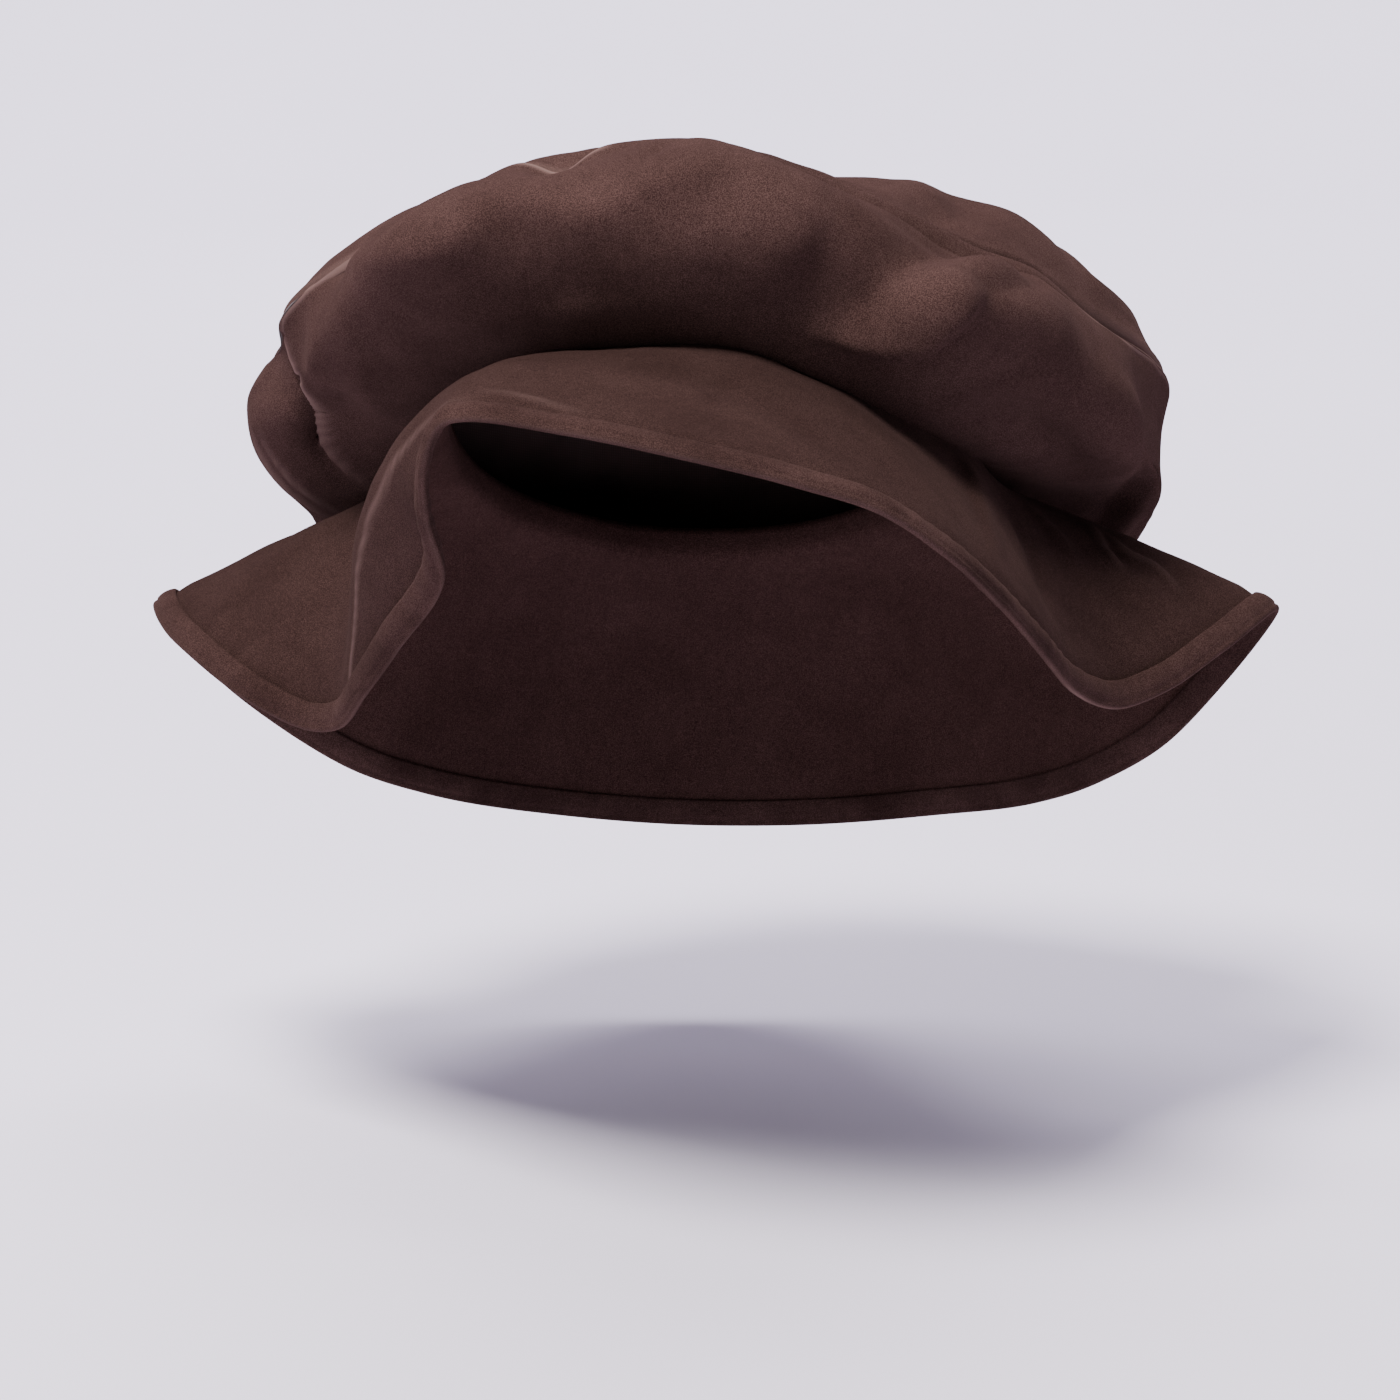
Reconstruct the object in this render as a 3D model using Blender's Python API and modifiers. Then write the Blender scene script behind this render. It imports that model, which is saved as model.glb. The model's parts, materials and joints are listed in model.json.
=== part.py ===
"""A floppy tudor beret of brown velvet, held tilted back as a head holds it.

The hat frame has x to the wearer's left, y to the back of the hat and z out through the crown's top.
Its origin is the centre of the head opening. An azimuth is counted in degrees from the front of the
hat: 90 is the wearer's left side, 180 the back and 270 the wearer's right side.
"""
import bpy
import bmesh
import numpy as np

# the head opening and how the hat sits
OPENING_HALF_WIDTH = 0.079
OPENING_HALF_LENGTH = 0.097
TILT_DEGREES = 33.0

# cloth
BRIM_WALL = 0.0013
CROWN_WALL = 0.0015
EDGE_WALL = 0.0010
GAP = 0.0003
EDGE_BAND = 0.0080
LAYER_END = (0.0100, 0.0036)
SEAM_LIP = 0.0030
SEAM_GAP = 0.0005

# crown
TOP_CENTRE_BACK = -0.005
TOP_CENTRE_UP = 0.076

# how finely each sheet is divided
BRIM_AROUND = 96
CROWN_AROUND = 72
SIDE_ACROSS = 6
TOP_ACROSS = 5

# one row per section of the brim, in millimetres: the seam's height at the opening, how far out and
# down the edge lies from it, how far the edge swings round and how high the middle of the brim arches
BRIM = np.array([
    # azimuth, seam, out, drop, swing, arch
    (0, -8, 64, 65, 0, 3),
    (9, -10, 60, 69, 2, 3),
    (17, -14, 56, 72, 4, 3),
    (26, -17, 49, 78, 5, 4),
    (37, -20, 38, 83, 7, 4),
    (50, -21, 29, 87, 11, 4),
    (63, -19, 26, 88, 17, 4),
    (72, -16, 35, 86, 21, 4),
    (79, -14, 51, 76, 19, 4),
    (86, -12, 67, 63, 9, 3),
    (97, -8, 88, 41, 2, 2),
    (107, -6, 80, 54, -1, 4),
    (115, -4, 68, 69, -5, 7),
    (123, -2, 58, 76, -4, 9),
    (134, 0, 55, 76, -2, 9),
    (150, 0, 60, 70, 1, 9),
    (167, 0, 63, 67, 5, 9),
    (180, 0, 63, 66, 8, 9),
    (195, 0, 64, 65, 12, 9),
    (212, 0, 62, 66, 16, 9),
    (223, 0, 68, 62, 18, 8),
    (236, 0, 84, 46, 17, 5),
    (250, 0, 90, 32, 16, 3),
    (262, 0, 77, 54, 10, 4),
    (270, 0, 56, 76, 2, 5),
    (276, 0, 38, 88, -5, 6),
    (283, 0, 27, 92, -7, 7),
    (291, 0, 27, 90, -4, 7),
    (300, 0, 34, 85, 0, 7),
    (312, 0, 50, 77, 1, 6),
    (321, -2, 64, 66, -2, 5),
    (327, -3, 73, 57, -3, 4),
    (333, -5, 77, 50, -4, 4),
    (346, -7, 71, 57, -2, 3),
])

# on the wearer's right the brim turns back towards the head below a fold: how far its edge lies in and
# how far the fold is pushed out, in millimetres
TUCK = np.array([
    # azimuth, edge_in, fold_out
    (0, 0, 0),
    (180, 0, 0),
    (272, 0, 0),
    (283, 0, 0),
    (291, 3, 3),
    (300, 11, 6),
    (312, 22, 9),
    (321, 15, 8),
    (328, 8, 5),
    (336, 3, 2),
    (346, 0, 0),
])

# one row per section of the crown, in millimetres: the height of its under side, the widest point of
# its belly, the seam between its side and its top, and how full the top stands behind that seam
CROWN = np.array([
    # azimuth, under_up, belly_out, belly_up, rim_out, rim_up, fullness
    (0, -2, 34, 20, 10, 49, 0.9),
    (20, -6, 33, 16, 5, 43, 1.8),
    (40, -16, 36, 8, 9, 38, 2.2),
    (58, -21, 42, 1, 23, 32, 4),
    (74, -22, 46, -5, 37, 23, 6),
    (86, -16, 49, -6, 49, 23, 5),
    (97, -9, 55, -4, 56, 24, 4.5),
    (110, -11, 57, -7, 53, 14, 3.5),
    (128, -13, 53, -10, 48, 5, 3),
    (150, -12, 49, -7, 44, 6, 3),
    (180, -9, 46, -5, 41, 8, 3),
    (225, -8, 49, -4, 46, 5, 3),
    (250, -7, 54, 3, 50, 12, 3),
    (265, -7, 57, 16, 52, 26, 3.5),
    (275, -6, 43, 13, 46, 27, 4),
    (283, -4, 41, 12, 47, 29, 4),
    (296, 0, 44, 17, 34, 36, 4),
    (309, 2, 42, 21, 22, 41, 3),
    (327, 3, 37, 23, 17, 48, 1.5),
    (342, 1, 35, 22, 11, 50, 0.9),
])

# soft folds of the crown's side: where each starts at the opening and ends at the rim, how wide it is
# and how far it stands out (or is sunk, when negative) in millimetres
SIDE_FOLDS = np.array([
    # azimuth_low, azimuth_high, half_width, height
    (12, 21, 6, -5),
    (24, 60, 8, 5),
    (58, 64, 8, -3),
    (82, 78, 6, -2),
    (104, 98, 8, -3),
    (128, 126, 12, 4),
    (152, 154, 10, -4),
    (176, 178, 13, 4),
    (204, 202, 11, -4),
    (230, 232, 12, 4),
    (248, 250, 7, -3),
    (302, 292, 8, -3),
    (322, 316, 9, 3),
    (345, 342, 8, -3),
])


def unit(vectors):
    return vectors / np.linalg.norm(vectors, axis=-1, keepdims=True)


def around(table, column, azimuth):
    """Value of one column at any azimuth, on a smooth curve through the rows that closes on itself."""
    knots = np.concatenate((table[-2:, 0] - 360.0, table[:, 0], table[:2, 0] + 360.0))
    values = np.concatenate((table[-2:, column], table[:, column], table[:2, column])) * 1.0
    slopes = (values[2:] - values[:-2]) / (knots[2:] - knots[:-2])
    knots = knots[1:-1]
    values = values[1:-1]
    turned = np.mod(azimuth, 360.0)
    row = np.clip(np.searchsorted(knots, turned, side="right") - 1, 0, len(knots) - 2)
    span = knots[row + 1] - knots[row]
    t = (turned - knots[row]) / span
    low = (2 * t**3 - 3 * t**2 + 1) * values[row] + (t**3 - 2 * t**2 + t) * span * slopes[row]
    high = (3 * t**2 - 2 * t**3) * values[row + 1] + (t**3 - t**2) * span * slopes[row + 1]
    return low + high


def millimetres(table, column, azimuth):
    return around(table, column, azimuth)[..., None] * 0.001


def outward(azimuth):
    a = np.radians(azimuth)
    return np.stack((np.sin(a), -np.cos(a), 0.0 * a), -1)


def sideways(azimuth):
    a = np.radians(azimuth)
    return np.stack((np.cos(a), np.sin(a), 0.0 * a), -1)


UP = np.array((0.0, 0.0, 1.0))
LEFT = np.array((1.0, 0.0, 0.0))


def opening(azimuth):
    """The oval line of the head opening, at the height where the crown and the brim are sewn."""
    a = np.radians(azimuth)
    flat = np.stack((OPENING_HALF_WIDTH * np.sin(a), -OPENING_HALF_LENGTH * np.cos(a), 0.0 * a), -1)
    return flat + millimetres(BRIM, 1, azimuth) * UP


def brim_edge(azimuth):
    flat = opening(azimuth) * np.array((1.0, 1.0, 0.0))
    out = millimetres(BRIM, 2, azimuth) * outward(azimuth)
    drop = millimetres(BRIM, 3, azimuth) * UP
    return flat + out - drop + millimetres(BRIM, 4, azimuth) * sideways(azimuth)


def brim(azimuth, t):
    """Point of the brim's middle surface, t from 0 at the opening to 1 at the edge."""
    start = opening(azimuth)
    end = brim_edge(azimuth)
    along = end - start
    lift = np.cross(sideways(azimuth), along)
    lift *= np.sign(lift[..., 2:3]) / np.linalg.norm(lift, axis=-1, keepdims=True)
    arch = 4.0 * t * (1.0 - t) * around(BRIM, 5, azimuth) * 0.001
    below = np.clip((t - 0.58) / 0.42, 0, 1)
    turned_in = below**2 * (3.0 - 2.0 * below) * around(TUCK, 1, azimuth) * 0.001
    fold = 6.75 * t**2 * (1.0 - t) * around(TUCK, 2, azimuth) * 0.001
    point = start + t[..., None] * along + arch[..., None] * lift
    return point + turned_in[..., None] * LEFT + fold[..., None] * outward(azimuth)


def brim_face(azimuth, share, height):
    """Point that stands a height above the brim's middle surface, a share of its width in from the edge."""
    t = 1.0 - share
    across = brim(azimuth, t) - brim(azimuth, t - 0.02)
    round_hat = brim(azimuth + 0.5, t) - brim(azimuth - 0.5, t)
    return brim(azimuth, t) + height * unit(np.cross(across, round_hat))


def bezier(a, b, c, d, t):
    t = t[..., None]
    return (1 - t)**3 * a + 3 * t * (1 - t)**2 * b + 3 * t**2 * (1 - t) * c + t**3 * d


def crown_side(azimuth, s):
    """Point of the crown's side, s from 0 at the opening over the belly at 0.5 to 1 at the rim."""
    under_up = millimetres(CROWN, 1, azimuth)
    belly_out = millimetres(CROWN, 2, azimuth)
    belly_up = millimetres(CROWN, 3, azimuth)
    rim_out = millimetres(CROWN, 4, azimuth)
    rim_up = millimetres(CROWN, 5, azimuth)
    start = opening(azimuth) + (BRIM_WALL + 1.5 * GAP + 0.5 * CROWN_WALL) * UP
    flat = opening(azimuth) * np.array((1.0, 1.0, 0.0))
    out = outward(azimuth)
    belly = flat + belly_out * out + belly_up * UP
    rim = flat + rim_out * out + rim_up * UP
    under = flat + 0.5 * belly_out * out + under_up * UP
    low = bezier(start, under, belly - 0.6 * (belly_up - under_up) * UP, belly, np.clip(2 * s, 0, 1))
    shoulder = rim + 0.5 * (belly_out - rim_out) * out - 0.1 * (rim_up - belly_up) * UP
    high = bezier(belly, belly + 0.5 * (rim_up - belly_up) * UP, shoulder, rim, np.clip(2 * s - 1, 0, 1))
    point = np.where(s[..., None] < 0.5, low, high)
    return point + side_folds(azimuth, s)[..., None] * out


def side_folds(azimuth, s):
    """How far the soft folds push the crown's side outward."""
    push = 0.0 * azimuth * s
    for low, high, half_width, height in SIDE_FOLDS:
        away = np.mod(azimuth - (low + (high - low) * s) + 180.0, 360.0) - 180.0
        push = push + 0.001 * height * np.exp(-(away / half_width)**2)
    return push * np.sin(np.pi * np.clip(s, 0, 1))**1.4


def crown_top(azimuth, r):
    """Point of the crown's top, r from 0 at its middle to 1 at the rim."""
    rim = crown_side(azimuth, 1.0 + 0.0 * r)
    middle = np.array((0.0, TOP_CENTRE_BACK, TOP_CENTRE_UP))
    bend = (r**(2.0 + (around(CROWN, 6, azimuth) - 2.0) * r))[..., None]
    flat = middle + r[..., None] * (rim - middle)
    height = TOP_CENTRE_UP + bend * (rim[..., 2:3] - TOP_CENTRE_UP)
    return flat * np.array((1.0, 1.0, 0.0)) + height * UP


def ring_of_rows(name, rows, closed_middle=None):
    """An open surface through rows of points that each run once around the hat."""
    shape = bmesh.new()
    rings = [[shape.verts.new(point) for point in row] for row in rows]
    count = len(rings[0])
    for inner, outer in zip(rings[:-1], rings[1:]):
        for i in range(count):
            j = (i + 1) % count
            shape.faces.new((inner[i], outer[i], outer[j], inner[j]))
    if closed_middle is not None:
        centre = shape.verts.new(closed_middle)
        for i in range(count):
            shape.faces.new((centre, rings[0][i], rings[0][(i + 1) % count]))
    mesh = bpy.data.meshes.new(name)
    shape.to_mesh(mesh)
    shape.free()
    for face in mesh.polygons:
        face.use_smooth = True
    return mesh


def velvet(name, colour):
    material = bpy.data.materials.new(name)
    material.use_nodes = True
    shader = material.node_tree.nodes["Principled BSDF"]
    shader.inputs["Base Color"].default_value = (*colour, 1.0)
    shader.inputs["Roughness"].default_value = 0.9
    shader.inputs["Sheen Weight"].default_value = 0.6
    return material


def cloth(name, mesh, wall, offset, material):
    """One sheet of cloth: the open surface thickened to its wall."""
    sheet = bpy.data.objects.new(name, mesh)
    parts.objects.link(sheet)
    mesh.materials.append(material)
    thick = sheet.modifiers.new("wall", "SOLIDIFY")
    thick.thickness = wall
    thick.offset = offset
    sheet.parent = hat
    return sheet


for old in list(bpy.data.objects):
    bpy.data.objects.remove(old, do_unlink=True)

parts = bpy.data.collections.new("tudor_beret")
bpy.context.scene.collection.children.link(parts)
hat = bpy.data.objects.new("hat_frame", None)
hat.rotation_euler = (-np.radians(TILT_DEGREES), 0.0, 0.0)
parts.objects.link(hat)

# the brim's two layers lie on either side of its middle surface
azimuths = np.arange(BRIM_AROUND) * 360.0 / BRIM_AROUND
length = np.linalg.norm(brim_edge(azimuths) - opening(azimuths), axis=-1)
depths = [length * share for share in (1.0, 0.76, 0.52, 0.30)] + [0 * length + d for d in LAYER_END]

for name, side, material in (
    ("brim_upper", 1.0, velvet("brim_upper_velvet", (0.047, 0.021, 0.018))),
    ("brim_under", -1.0, velvet("brim_under_velvet", (0.036, 0.016, 0.014))),
):
    rows = [brim_face(azimuths, depth / length, side * 0.5 * GAP) for depth in depths]
    cloth(name, ring_of_rows(name, rows), BRIM_WALL, side, material)

# the band bound over the edge: a strip folded round the ends of both layers
half_middle = 2.0 * GAP + BRIM_WALL + 0.5 * EDGE_WALL
section = [(EDGE_BAND, half_middle)]
for turn in np.radians((90.0, 45.0, 0.0, -45.0, -90.0)):
    section.append((0.5 * EDGE_WALL + half_middle * (1.0 - np.cos(turn)), half_middle * np.sin(turn)))
section.append((EDGE_BAND, -half_middle))
rows = [brim_face(azimuths, depth / length, height) for depth, height in section]
cloth("brim_edge", ring_of_rows("brim_edge", rows), EDGE_WALL, 0.0,
      velvet("brim_edge_velvet", (0.060, 0.027, 0.023)))

# the crown's side and top meet at the rim, each with a lip turned in at the seam
azimuths = np.arange(CROWN_AROUND) * 360.0 / CROWN_AROUND
rim = crown_side(azimuths, np.ones(CROWN_AROUND))
round_rim = crown_side(azimuths + 0.5, np.ones(CROWN_AROUND))
round_rim = unit(round_rim - crown_side(azimuths - 0.5, np.ones(CROWN_AROUND)))
up_side = unit(rim - crown_side(azimuths, np.full(CROWN_AROUND, 0.95)))
over_top = unit(crown_top(azimuths, np.full(CROWN_AROUND, 0.95)) - rim)
into = -unit(unit(np.cross(round_rim, up_side)) + unit(np.cross(round_rim, over_top)))
apart = 0.5 * (SEAM_GAP + CROWN_WALL) * unit(np.cross(round_rim, into))

side_rows = [crown_side(azimuths, np.full(CROWN_AROUND, s)) for s in np.linspace(0.0, 0.95, SIDE_ACROSS)]
side_rows += [rim - apart, rim - apart + SEAM_LIP * into]
cloth("crown_side", ring_of_rows("crown_side", side_rows), CROWN_WALL, 0.0,
      velvet("crown_side_velvet", (0.047, 0.021, 0.018)))

top_rows = [crown_top(azimuths, np.full(CROWN_AROUND, r)) for r in np.linspace(0.14, 0.95, TOP_ACROSS)]
top_rows += [rim + apart, rim + apart + SEAM_LIP * into]
centre = (0.0, TOP_CENTRE_BACK, TOP_CENTRE_UP)
cloth("crown_top", ring_of_rows("crown_top", top_rows, centre), CROWN_WALL, 0.0,
      velvet("crown_top_velvet", (0.047, 0.021, 0.018)))
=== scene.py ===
"""A floppy tudor beret of dark brown velvet, held tilted back as a head holds it.

Shapes are worked out in the hat's own frame: x to the wearer's left, y to the back of the hat and z
out through the crown's top, from the centre of the head opening. An azimuth is counted in degrees
from the front of the hat: 90 is the wearer's left side, 180 the back and 270 the wearer's right side.
"""
import json
import bpy
import numpy as np
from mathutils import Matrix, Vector, noise

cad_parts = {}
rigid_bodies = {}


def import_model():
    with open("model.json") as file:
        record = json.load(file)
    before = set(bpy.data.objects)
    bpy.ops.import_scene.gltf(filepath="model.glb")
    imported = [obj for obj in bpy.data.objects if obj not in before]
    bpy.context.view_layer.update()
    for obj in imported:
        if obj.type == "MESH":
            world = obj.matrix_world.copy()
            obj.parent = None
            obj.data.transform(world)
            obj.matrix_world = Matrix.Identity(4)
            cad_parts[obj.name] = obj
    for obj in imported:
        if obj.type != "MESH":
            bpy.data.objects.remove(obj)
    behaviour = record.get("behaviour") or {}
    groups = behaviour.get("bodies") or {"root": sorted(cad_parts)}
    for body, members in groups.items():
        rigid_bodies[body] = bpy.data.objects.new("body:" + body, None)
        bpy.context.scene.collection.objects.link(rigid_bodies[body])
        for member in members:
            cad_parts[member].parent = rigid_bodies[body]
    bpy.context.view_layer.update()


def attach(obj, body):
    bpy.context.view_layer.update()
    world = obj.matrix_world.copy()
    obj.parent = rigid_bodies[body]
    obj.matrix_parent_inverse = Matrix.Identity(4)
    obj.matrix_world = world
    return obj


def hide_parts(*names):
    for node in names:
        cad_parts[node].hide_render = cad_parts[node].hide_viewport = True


for leftover in list(bpy.data.objects):
    bpy.data.objects.remove(leftover, do_unlink=True)
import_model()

# the head opening and how the hat sits
OPENING_HALF_WIDTH = 0.079
OPENING_HALF_LENGTH = 0.097
TILT_DEGREES = 33.0

# cloth: how thick each sheet is, and the brim's layers where they are thinned under the band
CROWN_WALL = 0.0012
BRIM_WALL = 0.0011
EDGE_WALL = 0.0006
LAYER_THIN = 0.0003

# the band over the brim's edge: its width, how far it puffs out, how far the layers end short of the
# edge, and the gap between the layers
EDGE_BAND = 0.0080
EDGE_PUFF = 0.0009
LAYER_END = 0.0036
GAP = 0.0002

# seam at the head opening: how far the crown starts above the brim, and the turned-up allowance
SEAM_STEP = 0.0024
SEAM_ALLOWANCE = 0.0050

# seam between the crown's side and its top: the gap, how deep it lies, its allowance and its rows
SEAM_GAP = 0.0004
SEAM_DEPTH = 0.0011
SEAM_LIP = 0.0034
ROLL_ROWS = 8
# rows that lay the top's seam allowance over the end of the side's inside the hat: how much deeper than
# the allowance, and how far across as a multiple of the distance from the seam
PRESSED = ((0.0010, 0.3), (0.0016, 1.2), (0.0018, 2.6))

# painted sheen highlight along a crest: its least half width and its colour
SHEEN_LEAST_WIDTH = 0.0010
PAINTED_SHEEN_COLOUR = (0.150, 0.094, 0.084)

# crown: the middle of its top, its sections and rows, and the shares of the way over a sheet at which
# the top's first row lies, the side's rows come closer and both roll into the seam
TOP_CENTRE_BACK = -0.005
TOP_CENTRE_UP = 0.076
CROWN_SECTIONS = 640
SIDE_ROWS = 50
FINE_ROWS = 9
TOP_ROWS = 52
TOP_FIRST_SHARE = 0.03
FINE_SHARE = 0.925
SEAM_SHARE = 0.975
# the crown's sections stand closer together round these azimuths
CLOSER = (
    # azimuth, half_width, how much closer
    (271.0, 13.0, 1.6),
    (25.0, 18.0, 0.5),
)

# over which share of the way the folds and lumps fade in from a sheet's ends
OPENING_FADE = 0.06
CENTRE_FADE = 0.2
SIDE_RIM_FADE = 0.05
TOP_RIM_FADE = 0.04
# share of the way over the top from which the seam's dips pull it down
DIP_FROM = 0.88

# brim: OUTER_SHARE of its width at the edge has rows of its own, and it turns in from TURN_FROM on
BRIM_SECTIONS = 720
INNER_ROWS = 40
OUTER_ROWS = 10
BAND_ROWS = 12
OUTER_SHARE = 0.16
TURN_FROM = 0.58

# one row per section of the brim, in millimetres: the seam's height at the opening, how far out and
# down the edge lies from it, how far the edge swings round and how high the middle of the brim arches
BRIM = np.array([
    # azimuth, seam, out, drop, swing, arch
    (0, -8, 64, 65, 0, 3),
    (9, -10, 60, 69, 2, 3),
    (17, -14, 56, 72, 4, 3),
    (26, -17, 49, 78, 5, 4),
    (37, -20, 38, 83, 7, 4),
    (50, -21, 29, 87, 11, 4),
    (63, -19, 26, 88, 17, 4),
    (72, -16, 35, 86, 21, 4),
    (79, -14, 51, 76, 19, 4),
    (86, -12, 67, 63, 9, 3),
    (97, -8, 88, 41, 2, 2),
    (107, -6, 80, 54, -1, 4),
    (115, -4, 68, 69, -5, 7),
    (123, -2, 58, 76, -4, 9),
    (134, 0, 55, 76, -2, 9),
    (150, 0, 60, 70, 1, 9),
    (167, 0, 63, 67, 5, 9),
    (180, 0, 63, 66, 8, 9),
    (195, 0, 64, 65, 12, 9),
    (212, 0, 62, 66, 16, 9),
    (223, 0, 68, 62, 18, 8),
    (236, 0, 84, 46, 17, 5),
    (250, 0, 90, 32, 16, 3),
    (262, 0, 77, 54, 10, 4),
    (270, 0, 56, 76, 2, 5),
    (276, 0, 38, 88, -5, 6),
    (283, 0, 27, 92, -7, 7),
    (291, 0, 27, 90, -4, 7),
    (300, 0, 34, 85, 0, 7),
    (312, 0, 50, 77, 1, 6),
    (321, -2, 64, 66, -2, 5),
    (327, -3, 73, 57, -3, 4),
    (333, -5, 77, 50, -4, 4),
    (346, -7, 71, 57, -2, 3),
])

# on the wearer's right the brim turns back towards the head below a fold: how far its edge lies in and
# how far the fold is pushed out, in millimetres
TUCK = np.array([
    # azimuth, edge_in, fold_out
    (0, 0, 0),
    (180, 0, 0),
    (272, 0, 0),
    (283, 0, 0),
    (291, 3, 3),
    (300, 11, 6),
    (312, 22, 9),
    (321, 15, 8),
    (328, 8, 5),
    (336, 3, 2),
    (346, 0, 0),
])

# one row per section of the crown, in millimetres: the height of its under side, the widest point of
# its belly, the seam between its side and its top, and how full the top stands behind that seam
CROWN = np.array([
    # azimuth, under_up, belly_out, belly_up, rim_out, rim_up, fullness
    (0, -2, 34, 20, 10, 49, 0.9),
    (20, -6, 33, 16, 5, 43, 1.8),
    (40, -16, 36, 8, 9, 38, 2.2),
    (58, -21, 42, 1, 23, 32, 4),
    (74, -22, 46, -5, 37, 23, 6),
    (86, -16, 49, -6, 49, 23, 5),
    (97, -9, 55, -4, 56, 24, 4.5),
    (110, -11, 57, -7, 53, 14, 3.5),
    (128, -13, 53, -10, 48, 5, 3),
    (150, -12, 49, -7, 44, 6, 3),
    (180, -9, 46, -5, 41, 8, 3),
    (225, -8, 49, -4, 46, 5, 3),
    (250, -7, 54, 3, 50, 12, 3),
    (265, -7, 57, 16, 52, 26, 3.5),
    (275, -6, 43, 13, 46, 27, 4),
    (283, -4, 41, 12, 47, 29, 4),
    (296, 0, 44, 17, 34, 36, 4),
    (309, 2, 42, 21, 22, 41, 3),
    (327, 3, 37, 23, 17, 48, 1.5),
    (342, 1, 35, 22, 11, 50, 0.9),
])

# soft folds of the crown's side: where each starts at the opening and ends at the rim, how wide it is
# and how far it stands out (or is sunk, when negative) in millimetres
SIDE_FOLDS = np.array([
    # azimuth_low, azimuth_high, half_width, height
    (12, 21, 6, -5),
    (24, 60, 8, 5),
    (58, 64, 8, -3),
    (82, 78, 6, -2),
    (104, 98, 8, -3),
    (128, 126, 12, 4),
    (152, 154, 10, -4),
    (176, 178, 13, 4),
    (204, 202, 11, -4),
    (230, 232, 12, 4),
    (248, 250, 7, -3),
    (302, 292, 8, -3),
    (322, 316, 9, 3),
    (345, 342, 8, -3),
])

# the seam between the crown's side and its top dips here and there: azimuth, half width in degrees and
# depth in millimetres
SEAM_DIPS = np.array([
    (297, 9, 0.8),
    (334, 4.5, 7.0),
    (50, 8, 3.5),
    (68, 6, 1.5),
    (132, 9, 2.0),
    (190, 9, 2.0),
    (240, 7, 2.0),
])

# where a sheen highlight is painted along the crown's seam, and along the band round the brim
SEAM_SHEENS = (
    # azimuth, half_width
    (297, 20),
    (334, 7),
    (84, 13),
    (140, 10),
    (215, 14),
)
SEAM_SHEEN_LEAST = 0.08
BAND_SHEENS = (
    # azimuth, half_width, how much more
    (293.0, 9.0, 0.5),
    (97.0, 14.0, 0.2),
)
BAND_SHEEN_LEAST = 0.16

# the cloth's small lumps, by the sheet that has them
LUMPS = {
    # height, size, seed
    "side": ((0.0010, 0.034, 1), (0.00035, 0.012, 2)),
    "top": ((0.0014, 0.045, 3), (0.0004, 0.014, 4)),
    "brim": ((0.0012, 0.040, 5), (0.0003, 0.013, 6)),
}

# the pleat on the wearer's right, where the front of the crown is folded back over the side. One row per
# point of its line: azimuth, share of the way up the crown's side, how deep it is and how far its edge
# is drawn in, in millimetres.
PLEAT = np.array([
    (280, 0.97, 0.0, 0.0),
    (281, 0.88, 4.0, 0.0),
    (281, 0.70, 6.5, 0.0),
    (281, 0.56, 7.0, 1.5),
    (280, 0.45, 7.0, 4.0),
    (278, 0.36, 6.5, 6.5),
    (275, 0.28, 5.5, 7.5),
    (270, 0.22, 4.0, 6.0),
    (263, 0.17, 2.0, 3.0),
    (257, 0.14, 0.0, 0.0),
])
# how far the cloth is slid over, and how wide a strip of it is slid
OVERLAP = 0.0080
PLEAT_WIDTH = 0.0040
# how wide the hollow behind the pleat is, how wide its edge is drawn in on either side, how far its lip
# swells, how wide the sheen highlight painted along its edge is, and how far the pleat acts
PLEAT_SINK_WIDTH = 0.0050
DRAWN_FRONT = 0.018
DRAWN_BEHIND = 0.009
PLEAT_SWELL = 0.0012
PLEAT_SHEEN_WIDTH = 0.0016
PLEAT_REACH = 0.050

# how a finer fold is laid on: how strongly it leans, how round a creased crest stays, how many half
# widths it reaches, how many of them the painted sheen highlight on its crest has, how far off the
# sheet's own plane a point may lie and still belong to it, and how much further off a point beyond that
# counts
LEAN = 0.95
CREASE = 0.15
FOLD_REACH = 4.0
SHEEN_REACH = 0.8
SAME_SIDE = 0.006
OFF_PLANE = 3.0
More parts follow.
